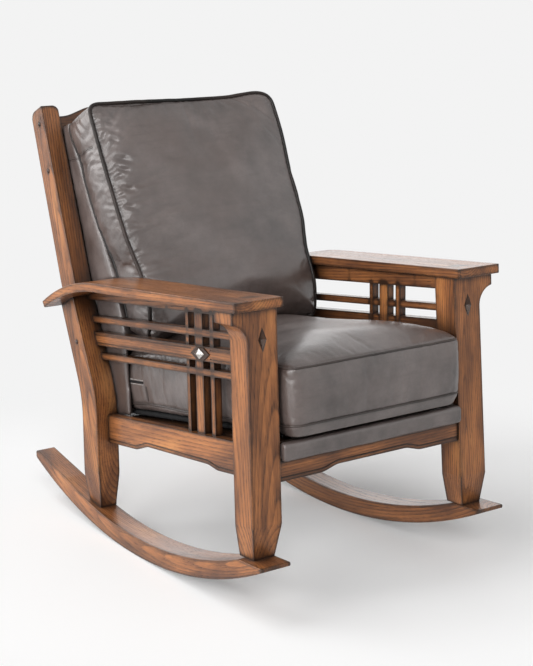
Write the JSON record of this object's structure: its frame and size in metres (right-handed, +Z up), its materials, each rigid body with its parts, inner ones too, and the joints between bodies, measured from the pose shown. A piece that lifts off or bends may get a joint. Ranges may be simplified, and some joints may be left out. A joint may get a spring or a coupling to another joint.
{
  "type": "rocking chair",
  "caption": "Bow-arm rocking chair with slatted sides, bent rear posts, curved runners, a loose leather seat cushion and an upholstered leaning back.",
  "frame": {"origin": "on the floor, under the middle of the chair's bounding box", "axes": "+X to the sitter's left, +Y to the chair's back, +Z up; the chair is at rest on its runners, where it leans back 3.4 degrees"},
  "size_m": [0.7374, 1.099, 1.0528],
  "materials": {
    "stained_wood": "satin",
    "bare_wood": "matte",
    "leather": "satin",
    "padded_leather": "satin",
    "foam": "matte",
    "cloth": "matte",
    "spring_wire": "brushed",
    "zinc_screws": "satin",
    "polished_stud": "polished",
    "zip_metal": "satin"
  },
  "bodies": {
    "chair": {"arm_left": "stained_wood", "arm_rail_left": "stained_wood", "arm_rail_right": "stained_wood", "arm_right": "stained_wood", "arm_screws": "zinc_screws", "back_cushion": "leather", "back_fill": "foam", "back_upholstery": "padded_leather", "back_webbing": "cloth", "boss_plate_left": "stained_wood", "boss_plate_right": "stained_wood", "boss_stud_left": "polished_stud", "boss_stud_right": "polished_stud", "corner_blocks": "bare_wood", "corner_screws": "zinc_screws", "crest_rail": "stained_wood", "deck_pad": "cloth", "dust_cover": "cloth", "front_post_left": "stained_wood", "front_post_right": "stained_wood", "front_rail": "stained_wood", "front_roll": "padded_leather", "front_slat_left": "stained_wood", "front_slat_right": "stained_wood", "lower_back_rail": "bare_wood", "lower_slat_left": "stained_wood", "lower_slat_right": "stained_wood", "middle_back_rail": "bare_wood", "moulded_slat_left": "stained_wood", "moulded_slat_right": "stained_wood", "outside_back": "leather", "post_plugs": "stained_wood", "post_screws": "zinc_screws", "rear_post_left": "stained_wood", "rear_post_right": "stained_wood", "rear_rail": "stained_wood", "rear_slat_left": "stained_wood", "rear_slat_right": "stained_wood", "runner_bolts": "zinc_screws", "runner_left": "stained_wood", "runner_right": "stained_wood", "seat_cleats": "bare_wood", "seat_frame_front": "bare_wood", "seat_frame_rear": "bare_wood", "seat_frame_side_left": "bare_wood", "seat_frame_side_right": "bare_wood", "seat_springs": "spring_wire", "side_rail_left": "stained_wood", "side_rail_right": "stained_wood", "spring_clips": "spring_wire", "upper_slat_left": "stained_wood", "upper_slat_right": "stained_wood", "wide_slat_left": "stained_wood", "wide_slat_right": "stained_wood"},
    "seat_cushion": {"seat_cushion": "leather", "seat_foam": "foam", "cushion_zip": "cloth"},
    "zip_slider": {"zip_slider": "zip_metal"}
  },
  "joints": [
    {"name": "seat_cushion_lift", "type": "slide", "parent": "chair", "child": "seat_cushion", "axis": [0, -0.9896, 0.1436], "range_m": [0, 0.72]},
    {"name": "zip_slide", "type": "slide", "parent": "seat_cushion", "child": "zip_slider", "axis": [1, 0, 0], "range_m": [0, 0.4]}
  ]
}
